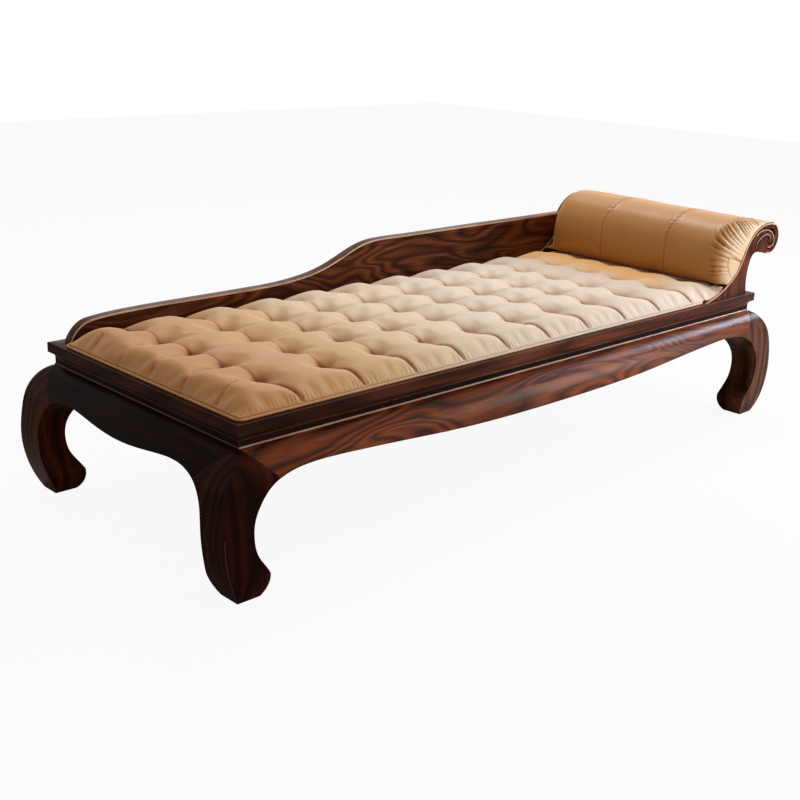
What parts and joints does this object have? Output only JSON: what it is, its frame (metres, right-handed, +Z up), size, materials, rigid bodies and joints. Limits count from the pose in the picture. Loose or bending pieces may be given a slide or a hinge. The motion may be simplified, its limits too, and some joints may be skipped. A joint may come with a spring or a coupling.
{
  "type": "luohan daybed",
  "caption": "Daybed in dark rosewood with bulging hoof legs, a shaped backboard along one side, a scrolled headrest, a tufted mattress and a bolster.",
  "frame": {"origin": "middle of the whole daybed seen from above, on the floor", "axes": "+X along the length towards the scrolled headrest, +Y towards the backboard, +Z up"},
  "size_m": [2.189, 0.884, 0.6316],
  "materials": {
    "leg_wood": "semi-gloss lacquer",
    "figured_wood": "semi-gloss lacquer",
    "waist_wood": "semi-gloss lacquer",
    "frame_wood": "semi-gloss lacquer",
    "inner_wood": "matt, unfinished",
    "backboard_wood": "semi-gloss lacquer",
    "headrest_wood": "semi-gloss lacquer",
    "mattress_fabric": "smooth woven, soft sheen",
    "welt_fabric": "smooth woven",
    "bolster_fabric": "smooth woven, soft sheen"
  },
  "bodies": {
    "daybed": {"leg_front_left": "leg_wood", "leg_front_right": "leg_wood", "leg_back_left": "leg_wood", "leg_back_right": "leg_wood", "apron_front": "figured_wood", "apron_back": "figured_wood", "apron_left": "figured_wood", "apron_right": "figured_wood", "waist_front": "waist_wood", "waist_back": "waist_wood", "waist_left": "waist_wood", "waist_right": "waist_wood", "frame_rail_front": "frame_wood", "frame_rail_back": "frame_wood", "frame_end_left": "frame_wood", "frame_end_right": "frame_wood", "seat_board_1": "inner_wood", "seat_board_2": "inner_wood", "seat_board_3": "inner_wood", "seat_board_4": "inner_wood", "seat_batten_1": "inner_wood", "seat_batten_2": "inner_wood", "seat_batten_3": "inner_wood", "seat_batten_4": "inner_wood", "seat_batten_5": "inner_wood", "backboard": "backboard_wood", "backboard_tenons": "inner_wood", "headrest_cheek_front": "headrest_wood", "headrest_cheek_rear": "headrest_wood", "headrest_panel": "headrest_wood", "headrest_roll": "headrest_wood", "headrest_tenons": "inner_wood"},
    "mattress": {"mattress": "mattress_fabric", "mattress_welt": "welt_fabric"},
    "bolster": {"bolster": "bolster_fabric", "bolster_end_front": "bolster_fabric", "bolster_end_rear": "bolster_fabric"}
  },
  "joints": [
    {"name": "mattress_lift", "type": "slide", "parent": "daybed", "child": "mattress", "axis": [0, 0, 1], "range_m": [0, 0.22]},
    {"name": "bolster_lift", "type": "slide", "parent": "mattress", "child": "bolster", "axis": [0, 0, 1], "range_m": [0, 0.2]}
  ]
}
